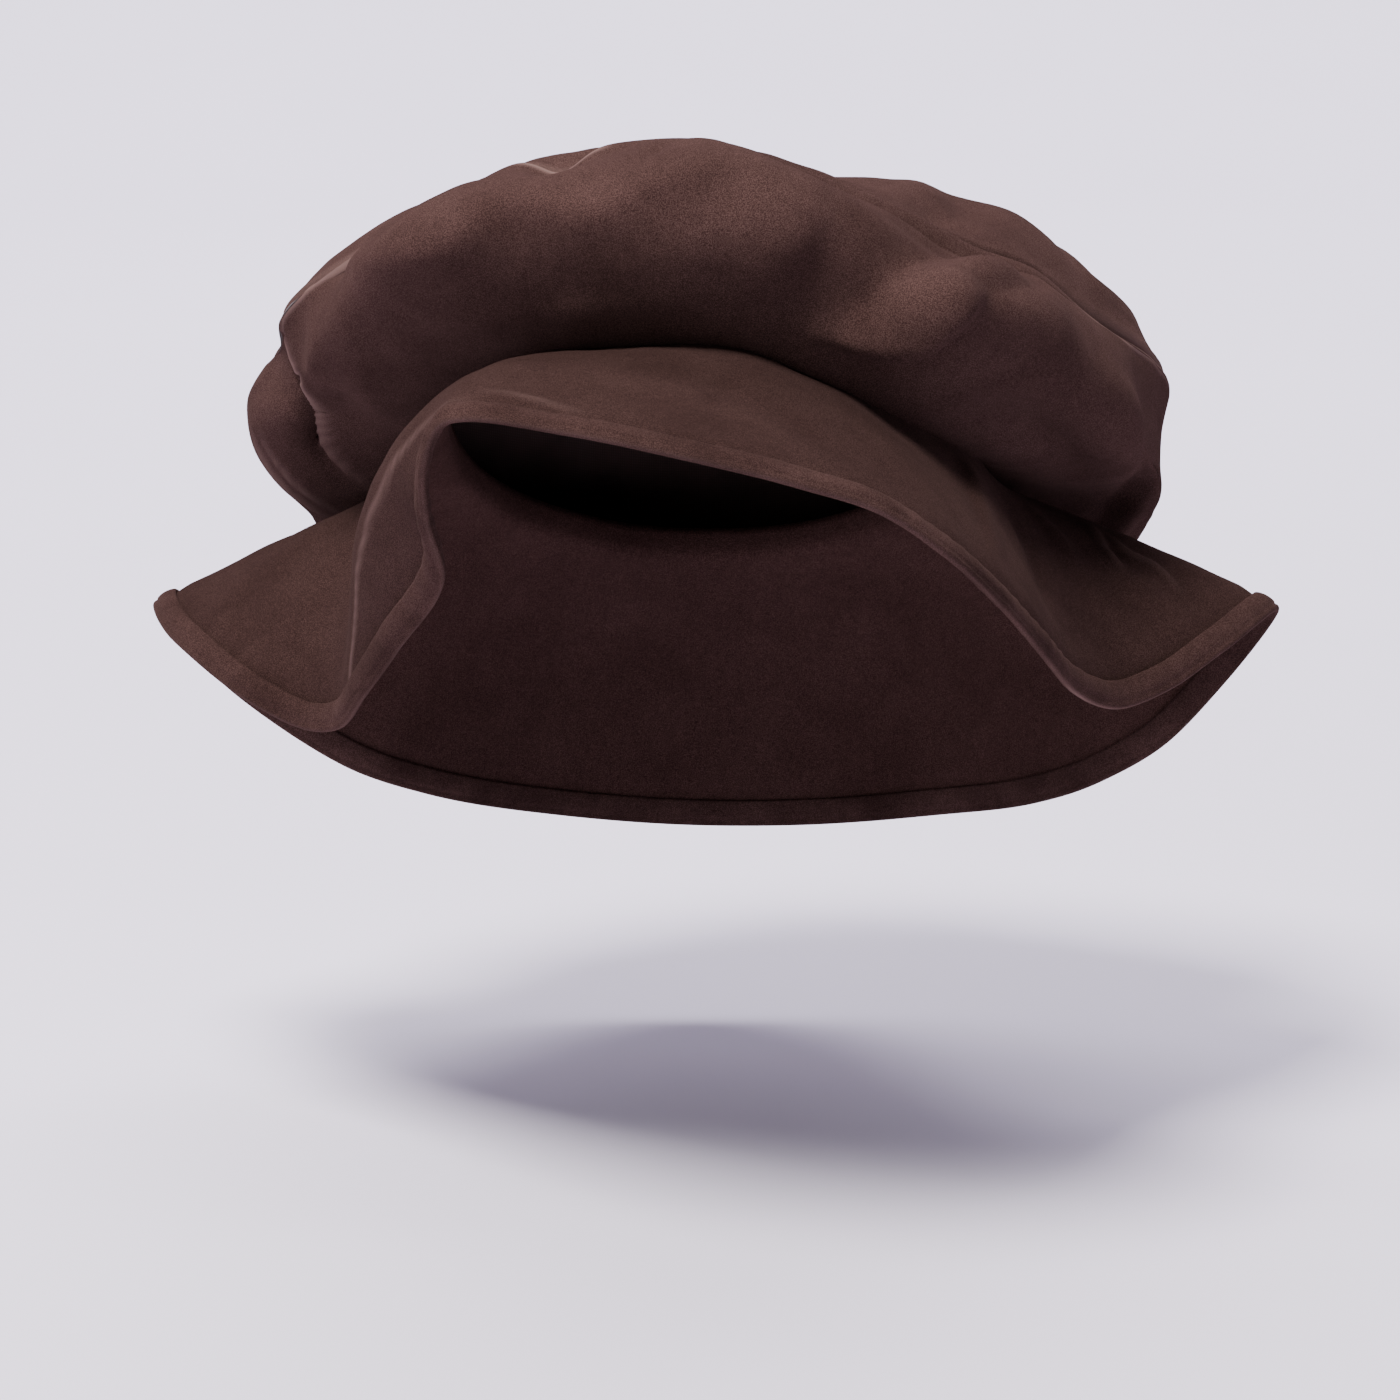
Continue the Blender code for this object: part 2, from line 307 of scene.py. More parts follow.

# finer folds, each a line over one sheet. Half width in millimetres; lean from -1 to 1 makes the flank
# on the left or on the right of the line (going along it, seen from outside) the steeper one; crisp
# from 0, round, to 1, creased; then how strong a sheen highlight is painted on its crest. Then the
# line's points: azimuth, share of the way over the sheet, and how far it stands out in millimetres there.
FOLDS = {
    "side": [
        # belly, from the pleat on the wearer's right over the front to the diagonal valley
        (8.5, -0.3, 0.6, 0, [(296, .84, 0), (303, .64, 2.4), (309, .52, 3.6), (316, .45, 4.4),
                             (322, .43, 4.6), (327, .48, 4.4), (331, .55, 4.0), (336, .52, 4.4),
                             (341, .47, 4.8), (346, .49, 4.8), (352, .55, 4.2), (358, .61, 3.4),
                             (5, .67, 2.0), (11, .72, 0)]),
        # above it the side lies back, so that the seam shows over it
        (10.0, 0.0, 0.0, 0, [(288, .90, 0), (298, .80, -3.2), (308, .78, -3.0), (318, .82, -1.0),
                             (326, .84, -2.0),
                             (334, .85, -3.6), (342, .86, -3.2), (350, .90, 0)]),
        (11.0, 0.0, 0.0, 0, [(0, .92, 0), (12, .84, -2.2), (26, .82, -3.6), (40, .82, -4.0),
                             (56, .84, -3.6),
                             (66, .88, -1.4), (74, .92, 0)]),
        # low roll under the belly
        (4.5, 0.0, 0.0, 0, [(308, .22, 0), (318, .16, 0.8), (334, .14, 1.2), (350, .15, 0.8),
                            (2, .18, 0)]),
        # diagonal valley, the ridge on its left and the swag that hangs on its right
        (12.0, 0.0, 0.0, 0, [(22, .92, 0), (19, .76, 2.4), (15, .58, 4.2), (12, .44, 3.6),
                             (11, .31, 2.0),
                             (11, .17, 0)]),
        (10.5, 0.45, 0.0, 0, [(54, .97, -1.5), (45, .84, -4.6), (36, .66, -6.8), (29, .50, -7.4),
                              (25, .34, -5.6), (21, .21, -3.0), (18, .12, 0)]),
        (8.0, 0.0, 0.0, 0, [(35, .40, 0), (40, .49, -3.2), (45, .57, -5.4), (51, .68, -4.4),
                            (60, .84, 0)]),
        (5.0, -0.6, 0.2, 0, [(16, .13, 0), (19, .14, 2.0), (24, .15, 4.4), (29, .18, 6.2),
                             (33, .24, 7.0),
                             (35, .33, 5.4), (37, .41, 2.6), (39, .48, 0)]),
        # swell of the swag above its lower edge
        (7.0, 0.0, 0.0, 0, [(24, .27, 0), (29, .32, 2.8), (33, .38, 3.2), (36, .44, 1.8), (39, .51, 0)]),
        # below the seam on the wearer's left the side is tucked in a little
        (2.6, 0.0, 0.2, 0, [(2, .96, 0), (10, .95, -2.2), (20, .95, -1.6), (34, .95, -1.8),
                            (50, .955, 0)]),
        # soft upright folds beside the pleat
        (5.0, 0.0, 0.0, 0, [(302, .52, 0), (299, .34, 1.0), (290, .22, 1.2), (280, .13, 0)]),
        (5.5, 0.0, 0.0, 0, [(294, .60, 0), (292, .42, -1.4), (284, .28, -2.2), (272, .19, 0)]),
        # puckers of the bulge behind the pleat, two of them with a painted sheen highlight on their
        # crests
        (3.0, 0.4, 0.5, 0, [(271, .76, 0), (268, .68, 0.7), (262, .60, 0.8), (256, .52, 0)]),
        (2.0, 0.5, 0.6, 0.7, [(266, .46, 0), (262, .39, 1.0), (256, .36, 1.2), (248, .34, 0)]),
        (1.6, 0.5, 0.6, 0.5, [(268, .42, 0), (262, .33, 0.7), (256, .30, 0.8), (250, .28, 0)]),
        (4.0, 0.0, 0.0, 0, [(268, .30, 0), (262, .25, -1.2), (254, .21, 0)]),
        # the seam's edge over the front and at both sides, with a painted sheen highlight
        (0.8, 0.0, 0.0, 0.85, [(325, .97, 0), (328, .968, 0.2), (334, .968, 0.2), (340, .968, 0.2),
                               (343, .97, 0)]),
        (0.8, 0.0, 0.0, 0.8, [(279, .97, 0), (284, .968, 0.2), (293, .968, 0.2), (304, .968, 0.1),
                              (316, .97, 0)]),
        (0.8, 0.0, 0.0, 0.8, [(66, .97, 0), (72, .968, 0.2), (80, .968, 0.2), (90, .968, 0.1),
                              (100, .97, 0)]),
        # small hollow high on the front
        (2.6, 0.0, 0.3, 0, [(351, .66, 0), (352, .76, -2.4), (353, .86, 0)]),
        # wearer's left: the fold that runs down to the brim, and the bulge at the end of it
        (8.0, 0.0, 0.0, 0, [(48, .52, 0), (58, .50, 1.2), (70, .50, 2.2), (82, .48, 1.6), (90, .46, 0)]),
        (8.0, 0.0, 0.0, 0, [(44, .18, 0), (54, .19, -4.0), (66, .20, -5.4), (78, .20, -4.0),
                            (86, .22, 0)]),
        (5.0, -0.4, 0.0, 0, [(76, .55, 0), (84, .42, -2.0), (92, .33, -2.6), (102, .28, -1.6),
                             (110, .26, 0)]),
        (4.5, 0.3, 0.3, 0, [(94, .46, 0), (101, .37, 2.6), (109, .33, 2.6), (116, .30, 0)]),
        # back
        (5.0, 0.3, 0.3, 0, [(134, .90, 0), (137, .66, 1.6), (141, .40, 1.6), (143, .16, 0)]),
        (4.0, -0.3, 0.5, 0, [(162, .86, 0), (165, .62, 1.4), (164, .38, 1.6), (160, .16, 0)]),
        (5.0, 0.2, 0.0, 0, [(188, .92, 0), (190, .70, -1.6), (186, .40, -1.8), (187, .14, 0)]),
        (4.0, 0.4, 0.5, 0, [(214, .88, 0), (216, .60, 1.6), (219, .36, 1.4), (218, .14, 0)]),
        (3.2, 0.4, 0.5, 0, [(238, .90, 0), (240, .66, 1.4), (243, .42, 1.2), (242, .20, 0)]),
    ],
    "top": [
        # the top stands over the seam on the wearer's right
        (5.0, 0.2, 0.2, 0, [(279, .95, 0), (286, .92, 1.0), (298, .91, -0.5), (310, .90, 2.0),
                            (322, .94, 0)]),
        # on the wearer's left its edge is puffed over the seam, and behind the front's dip it shows
        # above it
        (3.2, 0.0, 0.0, 0, [(1, .97, 0), (10, .955, 2.2), (28, .955, 2.4), (39, .96, 0.8),
                            (50, .97, 0)]),
        (4.5, 0.0, 0.0, 0, [(320, .95, 0), (327, .93, 0.6), (334, .92, 1.0), (341, .93, 0.6),
                            (348, .95, 0)]),
        (5.0, 0.0, 0.0, 0, [(70, .95, 0), (78, .94, 2.0), (88, .94, 2.4), (96, .95, 0)]),
        (7.0, 0.0, 0.0, 0, [(28, .96, 0), (36, .92, 0.8), (44, .85, 0.8), (52, .76, 0.8), (60, .68, 0)]),
        (11.0, 0.0, 0.0, 0, [(45, .97, -1.5), (50, .90, -4.6), (57, .82, -5.6), (66, .72, -3.6),
                             (76, .62, 0)]),
        # hollow behind the front seam, and soft folds that run in from the seam
        (9.0, 0.0, 0.0, 0, [(318, .66, 0), (336, .74, -1.6), (356, .78, -2.0), (14, .78, -1.4),
                            (30, .72, 0)]),
        (8.0, 0.2, 0.2, 0, [(52, .96, 1.2), (56, .78, 2.0), (66, .58, 1.2), (80, .40, 0)]),
        (6.0, -0.2, 0.2, 0, [(74, .96, -1.2), (80, .78, -1.6), (92, .60, 0)]),
        (7.0, 0.2, 0.2, 0, [(116, .96, 1.0), (118, .76, 1.8), (124, .56, 0)]),
        (6.0, 0.0, 0.4, 0, [(146, .96, -1.0), (150, .74, -1.4), (160, .52, 0)]),
        (8.0, 0.0, 0.2, 0, [(172, .96, 1.0), (176, .74, 1.6), (170, .50, 0)]),
        (6.0, 0.3, 0.2, 0, [(204, .96, -1.0), (206, .76, -1.6), (214, .56, 0)]),
        (7.0, 0.0, 0.2, 0, [(236, .96, 1.0), (238, .76, 1.8), (232, .56, 0)]),
        (5.0, 0.5, 0.4, 0, [(278, .97, 1.2), (272, .84, 2.0), (262, .70, 1.2), (250, .58, 0)]),
        (7.0, 0.0, 0.0, 0, [(296, .86, -1.0), (294, .76, -1.8), (286, .60, 0)]),
        (10.0, 0.0, 0.0, 0, [(260, .46, 0), (300, .36, 1.6), (350, .34, 1.2), (30, .44, 0)]),
        (12.0, 0.0, 0.0, 0, [(90, .34, 0), (140, .30, -1.6), (190, .34, 0)]),
    ],
    "brim": [
        # wearer's left: the ridge where the front turns round to the side, and the pinch behind it, whose
        # two ridges have a faint painted sheen highlight
        (6.0, -0.5, 0.3, 0, [(60, .02, 0), (54, .16, 1.6), (48, .38, 1.8), (43, .60, 1.4),
                             (38, .84, 0)]),
        (6.5, 0.0, 0.0, 0, [(70, .04, 0), (66, .26, -1.4), (62, .52, -1.6), (60, .78, 0)]),
        (2.2, 0.4, 0.6, 0.2, [(93, .34, 0), (89, .42, 1.6), (86, .49, 1.7), (84, .58, 0)]),
        (2.0, 0.4, 0.6, 0.2, [(92, .42, 0), (89, .52, 1.6), (90, .62, 1.5), (88, .78, 0)]),
        (3.0, 0.0, 0.2, 0, [(90, .38, 0), (87, .46, -1.2), (87, .56, 0)]),
        (4.0, 0.0, 0.0, 0, [(80, .10, 0), (78, .32, 1.2), (76, .54, 0)]),
        # front: soft dips, and the crease over the edge band on the wearer's right, with a faint painted
        # sheen highlight on its crest
        (9.0, 0.0, 0.0, 0, [(352, .12, 0), (0, .40, -1.0), (10, .62, -1.0), (24, .74, 0)]),
        (1.8, 0.5, 0.6, 0.15, [(335, .80, 0), (339, .83, 0.6), (343, .85, 0.6), (348, .87, 0)]),
        (8.0, 0.0, 0.0, 0, [(318, .10, 0), (324, .38, 1.2), (330, .64, 0)]),
        # wearer's right lobe
        (7.0, 0.0, 0.0, 0, [(270, .10, 0), (266, .40, -1.2), (266, .70, 0)]),
        (6.0, 0.2, 0.0, 0, [(252, .16, 0), (250, .44, 1.2), (254, .72, 0)]),
        (4.0, 0.0, 0.0, 0, [(262, .62, 0), (266, .80, -0.9), (271, .88, 0)]),
        (5.0, 0.0, 0.0, 0, [(290, .20, 0), (288, .50, 1.0), (286, .80, 0)]),
        # the crest of the fold over which the brim turns back, with a painted sheen highlight along it
        (1.5, 0.0, 0.0, 0.38, [(336, .90, 0), (331, .85, 0.1), (325, .76, 0.2), (318, .70, 0.3),
                              (308, .69, 0.3), (299, .74, 0.3), (291, .85, 0.3), (285, .97, 0.2)]),
        # back waves
        (8.0, 0.2, 0.0, 0, [(120, .10, 0), (124, .46, 1.4), (126, .84, 0)]),
        (9.0, 0.0, 0.0, 0, [(156, .12, 0), (158, .50, -1.2), (160, .84, 0)]),
        (9.0, 0.2, 0.0, 0, [(196, .12, 0), (200, .50, 1.4), (202, .84, 0)]),
        (7.0, 0.0, 0.0, 0, [(226, .14, 0), (228, .50, -1.2), (230, .84, 0)]),
    ],
}


def unit(vectors):
    return vectors / np.linalg.norm(vectors, axis=-1, keepdims=True)


def around(table, column, azimuth):
    """Value of one column at any azimuth, on a smooth curve through the rows that closes on itself."""
    knots = np.concatenate((table[-2:, 0] - 360.0, table[:, 0], table[:2, 0] + 360.0))
    values = np.concatenate((table[-2:, column], table[:, column], table[:2, column])) * 1.0
    slopes = (values[2:] - values[:-2]) / (knots[2:] - knots[:-2])
    knots = knots[1:-1]
    values = values[1:-1]
    turned = np.mod(azimuth, 360.0)
    row = np.clip(np.searchsorted(knots, turned, side="right") - 1, 0, len(knots) - 2)
    span = knots[row + 1] - knots[row]
    t = (turned - knots[row]) / span
    low = (2 * t**3 - 3 * t**2 + 1) * values[row] + (t**3 - 2 * t**2 + t) * span * slopes[row]
    high = (3 * t**2 - 2 * t**3) * values[row + 1] + (t**3 - t**2) * span * slopes[row + 1]
    return low + high


def millimetres(table, column, azimuth):
    return around(table, column, azimuth)[..., None] * 0.001


def outward(azimuth):
    a = np.radians(azimuth)
    return np.stack((np.sin(a), -np.cos(a), 0.0 * a), -1)


def sideways(azimuth):
    a = np.radians(azimuth)
    return np.stack((np.cos(a), np.sin(a), 0.0 * a), -1)


UP = np.array((0.0, 0.0, 1.0))
LEFT = np.array((1.0, 0.0, 0.0))


def flattened(points):
    """Points brought down to the level of the middle of the head opening."""
    return points * np.array((1.0, 1.0, 0.0))


def opening(azimuth):
    """The oval line of the head opening, at the height where the crown and the brim are sewn."""
    a = np.radians(azimuth)
    flat = np.stack((OPENING_HALF_WIDTH * np.sin(a), -OPENING_HALF_LENGTH * np.cos(a), 0.0 * a), -1)
    return flat + millimetres(BRIM, 1, azimuth) * UP


def brim_edge(azimuth):
    flat = flattened(opening(azimuth))
    out = millimetres(BRIM, 2, azimuth) * outward(azimuth)
    drop = millimetres(BRIM, 3, azimuth) * UP
    return flat + out - drop + millimetres(BRIM, 4, azimuth) * sideways(azimuth)


def brim(azimuth, t):
    """Point of the brim's middle surface, t from 0 at the opening to 1 at the edge."""
    start = opening(azimuth)
    end = brim_edge(azimuth)
    along = end - start
    lift = np.cross(sideways(azimuth), along)
    lift *= np.sign(lift[..., 2:3]) / np.linalg.norm(lift, axis=-1, keepdims=True)
    # both humps are 1 at their highest, the first half way down and the second two thirds down
    arch = 4.0 * t * (1.0 - t) * around(BRIM, 5, azimuth) * 0.001
    fold = 6.75 * t**2 * (1.0 - t) * around(TUCK, 2, azimuth) * 0.001
    below = np.clip((t - TURN_FROM) / (1.0 - TURN_FROM), 0, 1)
    turned_in = below**2 * (3.0 - 2.0 * below) * around(TUCK, 1, azimuth) * 0.001
    point = start + t[..., None] * along + arch[..., None] * lift
    return point + turned_in[..., None] * LEFT + fold[..., None] * outward(azimuth)


def bezier(a, b, c, d, t):
    t = t[..., None]
    return (1 - t)**3 * a + 3 * t * (1 - t)**2 * b + 3 * t**2 * (1 - t) * c + t**3 * d


def crown_side(azimuth, s):
    """Point of the crown's side, s from 0 at the opening over the belly at 0.5 to 1 at the rim."""
    under_up = millimetres(CROWN, 1, azimuth)
    belly_out = millimetres(CROWN, 2, azimuth)
    belly_up = millimetres(CROWN, 3, azimuth)
    rim_out = millimetres(CROWN, 4, azimuth)
    rim_up = millimetres(CROWN, 5, azimuth)
    start = opening(azimuth) + SEAM_STEP * UP
    flat = flattened(opening(azimuth))
    out = outward(azimuth)
    belly = flat + belly_out * out + belly_up * UP
    rim = flat + rim_out * out + rim_up * UP
    under = flat + 0.5 * belly_out * out + under_up * UP
    low = bezier(start, under, belly - 0.6 * (belly_up - under_up) * UP, belly, np.clip(2 * s, 0, 1))
    shoulder = rim + 0.5 * (belly_out - rim_out) * out - 0.1 * (rim_up - belly_up) * UP
    high = bezier(belly, belly + 0.5 * (rim_up - belly_up) * UP, shoulder, rim, np.clip(2 * s - 1, 0, 1))
    point = np.where(s[..., None] < 0.5, low, high)
    dip = seam_dip(azimuth) * np.clip((s - 0.5) / 0.5, 0, 1)**1.5
    return point + side_folds(azimuth, s)[..., None] * out - dip[..., None] * UP


def bell(distance, half_width):
    return np.exp(-(distance / half_width)**2)


def turn_from(azimuth, middle):
    """Degrees from one azimuth to others, from -180 to 180."""
    return np.mod(azimuth - middle + 180.0, 360.0) - 180.0


def seam_dip(azimuth):
    """How far the seam between the crown's side and its top dips at an azimuth."""
    dip = 0.0 * azimuth
    for middle, half_width, depth in SEAM_DIPS:
        dip = dip + 0.001 * depth * bell(turn_from(azimuth, middle), half_width)
    return dip


def side_folds(azimuth, s):
    """How far the soft folds push the crown's side outward."""
    push = 0.0 * azimuth * s
    for low, high, half_width, height in SIDE_FOLDS:
        away = turn_from(azimuth, low + (high - low) * s)
        push = push + 0.001 * height * bell(away, half_width)
    return push * np.sin(np.pi * np.clip(s, 0, 1))**1.4


def crown_top(azimuth, r):
    """Point of the crown's top, r from 0 at its middle to 1 at the rim."""
    rim = crown_side(azimuth, 1.0 + 0.0 * r)
    middle = np.array((0.0, TOP_CENTRE_BACK, TOP_CENTRE_UP))
    bend = (r**(2.0 + (around(CROWN, 6, azimuth) - 2.0) * r))[..., None]
    flat = middle + r[..., None] * (rim - middle)
    dip = seam_dip(azimuth)[..., None]
    height = TOP_CENTRE_UP + bend * (rim[..., 2:3] + dip - TOP_CENTRE_UP)
    height = height - dip * np.clip((r[..., None] - DIP_FROM) / (1.0 - DIP_FROM), 0, 1)**2
    return flattened(flat) + height * UP


def turned_up(start, inward, rise):
    """Rows that take a sheet's end at the head opening round and up into the hat, its free end first."""
    bend = start + inward + rise * UP
    curve = [bezier(start, start + inward, bend - 0.6 * rise * UP, bend, np.full(len(start), t))
             for t in (1.0, 0.6, 0.3)]
    return [bend + SEAM_ALLOWANCE * UP, bend + 0.5 * SEAM_ALLOWANCE * UP] + curve


def normals(points):
    """Square direction out of a grid of points, rows across the sheet and columns round the hat."""
    round_hat = np.roll(points, -1, axis=1) - np.roll(points, 1, axis=1)
    return unit(np.cross(round_hat, np.gradient(points, axis=0)))


def fold_line(surface, line):
    """A fold's line as closely spaced points on the surface, with its height at each."""
    line = np.array(line, float)
    line[:, 0] = np.degrees(np.unwrap(np.radians(line[:, 0])))
    knots = np.arange(len(line))
    fine = np.linspace(0, len(line) - 1, 10 * (len(line) - 1) + 1)
    rounded = []
    for column in range(3):
        values = np.interp(fine, knots, line[:, column])
        padded = np.concatenate((np.full(4, values[0]), values, np.full(4, values[-1])))
        rounded.append(np.convolve(padded, np.hanning(11)[1:-1] / np.hanning(11).sum(), "valid"))
    return surface(rounded[0], rounded[1]), 0.001 * rounded[2]


def beside_line(points, square, path, heights, reach):
    """Points of a sheet within reach of a line: which they are, how far off along the sheet, on which
    side, which way and the line's height there. The side is 1 to the right of the line and -1 to the
    left."""
    near = np.all((points > path.min(0) - reach) & (points < path.max(0) + reach), axis=1)
    at = points[near]
    off = np.full(len(at), 1e9)
    side = np.zeros(len(at))
    across = np.zeros((len(at), 3))
    high = np.zeros(len(at))
    for a, b, high_a, high_b in zip(path[:-1], path[1:], heights[:-1], heights[1:]):
        along = b - a
        t = np.clip((at - a) @ along / max(along @ along, 1e-12), 0, 1)
        gap = at - (a + t[:, None] * along)
        rise = np.einsum("ij,ij->i", gap, square[near])
        gap = gap - rise[:, None] * square[near]
        distance = np.linalg.norm(gap, axis=1) + OFF_PLANE * np.clip(np.abs(rise) - SAME_SIDE, 0, None)
        closer = distance < off
        off[closer] = distance[closer]
        right = np.cross(along, square[near])
        side[closer] = np.sign(np.einsum("ij,ij->i", right, gap)[closer])
        across[closer] = right[closer]
        high[closer] = (high_a + t * (high_b - high_a))[closer]
    return near, off, side, unit(across), high


def fold_push(points, square, surface, folds):
    """How far the finer folds push each point of a sheet out, and how strong a sheen highlight is painted
    there.
    """
    at = points.reshape(-1, 3)
    out = square.reshape(-1, 3)
    push = np.zeros(len(at))
    sheen_paint = np.zeros(len(at))
    for half_width, lean, crisp, painted_sheen, line in folds:
        path, heights = fold_line(surface, line)
        wide = 0.001 * half_width
        near, off, side, _, high = beside_line(at, out, path, heights, FOLD_REACH * wide)
        away = off / (wide * (1.0 + LEAN * lean * side))
        creased = np.exp(CREASE - np.sqrt(CREASE**2 + away**2))
        push[near] += high * ((1.0 - crisp) * bell(away, 1.0) + crisp * creased)
        # painted sheen highlight on the fold's crest, stronger where the fold stands higher
        sheen_here = painted_sheen * np.abs(high) / np.abs(high).max() * bell(off, max(SHEEN_LEAST_WIDTH, SHEEN_REACH * wide))
        sheen_paint[near] = np.maximum(sheen_paint[near], sheen_here)
    return push.reshape(points.shape[:-1]), sheen_paint.reshape(points.shape[:-1])


def pleated(points, square, surface):
    """Slide and sink a sheet's points so that the cloth before the pleat lies over that behind it."""
    at = points.reshape(-1, 3)
    out = square.reshape(-1, 3)
    moved = at.copy()
    sheen_paint = np.zeros(len(moved))
    path, depths = fold_line(surface, PLEAT[:, :3])
    draws = fold_line(surface, PLEAT[:, (0, 1, 3)])[1]
    drawn = beside_line(at, out, path, draws, PLEAT_REACH)[4]
    near, off, side, across, deep = beside_line(at, out, path, depths, PLEAT_REACH)
    behind = off * side
    share = deep / deep.max()
    slid = OVERLAP * share * bell(behind, PLEAT_WIDTH)
    back = np.clip(behind / PLEAT_SINK_WIDTH, 0, None)
    sunk = deep * back**2 * np.exp(1.0 - back**2)
    swell = PLEAT_SWELL * share * bell(behind + 0.001, PLEAT_WIDTH)
    drawn = drawn * bell(behind, np.where(behind < 0, DRAWN_FRONT, DRAWN_BEHIND))
    moved[near] += slid[:, None] * across + (swell - sunk - drawn)[:, None] * out[near]
    # painted sheen highlight along the pleat's edge
    sheen_paint[near] = share * bell(behind + 0.0002, PLEAT_SHEEN_WIDTH)
    return moved.reshape(points.shape), sheen_paint.reshape(points.shape[:-1])


def rough(points, size, seed):
    """Smooth random field from -1 to 1 over a grid of points, with lumps of the given size in metres."""
    shift = Vector((seed * 3.71, seed * 1.93, seed * 2.57))
    values = [noise.noise(Vector(p) / size + shift) for p in points.reshape(-1, 3)]
    return np.array(values).reshape(points.shape[:-1])


def lumps(points, sheet):
    """How far a sheet's small lumps push it out, over a grid of points."""
    return sum(height * rough(points, size, seed) for height, size, seed in LUMPS[sheet])


def seam_puckers(azimuth, distance, height, count, reach, seed):
    """Little gathers along a seam, uneven in strength and spacing, that fade out away from it."""
    a = np.radians(azimuth)
    wander = np.sin(5 * a + seed) * 1.3 + np.sin(11 * a + 2.1 * seed) * 0.7
    strength = 0.55 + 0.45 * np.sin(7 * a + 1.7 * seed) * np.sin(3 * a + seed)
    return height * (strength * np.sin(count * a + wander * 2.0) * np.exp(-distance / reach))


def to_world(points):
    """From the hat's own frame to the frame in which it is held tilted back."""
    c = np.cos(np.radians(TILT_DEGREES))
    s = np.sin(np.radians(TILT_DEGREES))
    y = c * points[..., 1] + s * points[..., 2]
    z = c * points[..., 2] - s * points[..., 1]
    return np.stack((points[..., 0], y, z), -1)


def loft(name, outer, inner, materials, sheen_paint, middle=None):
    """One closed sheet of cloth between two grids of points that run round the hat, the second inside.

    It also takes how strong a sheen highlight is painted at each point of the grid.
    """
    rows, count = outer.shape[:2]
    vertices = np.concatenate((to_world(outer).reshape(-1, 3), to_world(inner).reshape(-1, 3)))
    j, i = np.meshgrid(np.arange(rows - 1), np.arange(count), indexing="ij")
    k = (i + 1) % count
    face = np.stack((j * count + i, j * count + k, (j + 1) * count + k, (j + 1) * count + i), -1)
    face = face.reshape(-1, 4)
    base = rows * count
    # the faces that close the last row, and the first unless the sheet goes on to its middle
    i = np.arange(count)
    k = (i + 1) % count
    last = (rows - 1) * count
    end = np.stack((last + i, last + k, base + last + k, base + last + i), -1)
    faces = [face, base + face[:, ::-1], end]
    if middle is None:
        faces.append(np.stack((k, i, base + i, base + k), -1))
    faces = [tuple(int(v) for v in row) for row in np.concatenate(faces)]
    inside = [False] * len(face) + [True] * len(face) + [False] * (len(faces) - 2 * len(face))
    if middle is not None:
        points = to_world(np.array(middle))
        vertices = np.concatenate((vertices, points))
        for a in range(count):
            b = (a + 1) % count
            faces += [(2 * base, b, a), (2 * base + 1, base + a, base + b)]
            inside += [False, True]
    mesh = bpy.data.meshes.new(name)
    mesh.from_pydata([tuple(v) for v in vertices], [], faces)
    for material in materials:
        mesh.materials.append(material)
    if len(materials) > 1:
        mesh.polygons.foreach_set("material_index", np.array(inside, dtype=np.int32))
    mesh.polygons.foreach_set("use_smooth", [True] * len(mesh.polygons))
    # strength of the painted sheen highlight, kept on the mesh for the velvet's colour
    values = np.zeros(len(vertices))
    values[:base] = sheen_paint.reshape(-1)
    mesh.attributes.new("painted_sheen", "FLOAT", "POINT").data.foreach_set("value", values)
    mesh.update()
    piece = bpy.data.objects.new(name, mesh)
    bpy.context.scene.collection.objects.link(piece)
    return piece


def node(tree, kind, **values):
    """A new node, with the values of its sockets and of its own settings."""
    made = tree.nodes.new(kind)
    for name, value in values.items():
        if name in made.inputs:
            made.inputs[name].default_value = value
        else:
            setattr(made, name, value)
    return made


def ramp(tree, source, low, high, low_colour, high_colour):
    """Colour ramp between two grey levels or colours over part of a texture's range."""
    made = node(tree, "ShaderNodeValToRGB")
    made.color_ramp.elements[0].position = low
    made.color_ramp.elements[1].position = high
    made.color_ramp.elements[0].color = (*low_colour, 1.0)
    made.color_ramp.elements[1].color = (*high_colour, 1.0)
    tree.links.new(source, made.inputs["Fac"])
    return made.outputs["Color"]


def new_material(name):
    """A material, its node tree, its shader and the socket that gives the place on an object."""
    material = bpy.data.materials.new(name)
    material.use_nodes = True
    tree = material.node_tree
    place = tree.nodes.new("ShaderNodeTexCoord").outputs["Object"]
    return material, tree, tree.nodes["Principled BSDF"], place


def noise_at(tree, place, **values):
    made = node(tree, "ShaderNodeTexNoise", **values)
    tree.links.new(place, made.inputs["Vector"])
    return made.outputs["Fac"]


def multiplied(tree, one, other):
    """One colour times another."""
    made = node(tree, "ShaderNodeMix", data_type="RGBA", blend_type="MULTIPLY")
    made.inputs[0].default_value = 1.0
    tree.links.new(one, made.inputs[6])
    tree.links.new(other, made.inputs[7])
    return made.outputs[2]


def bumped(tree, height, strength, distance):
    made = node(tree, "ShaderNodeBump", Strength=strength, Distance=distance)
    tree.links.new(height, made.inputs["Height"])
    return made


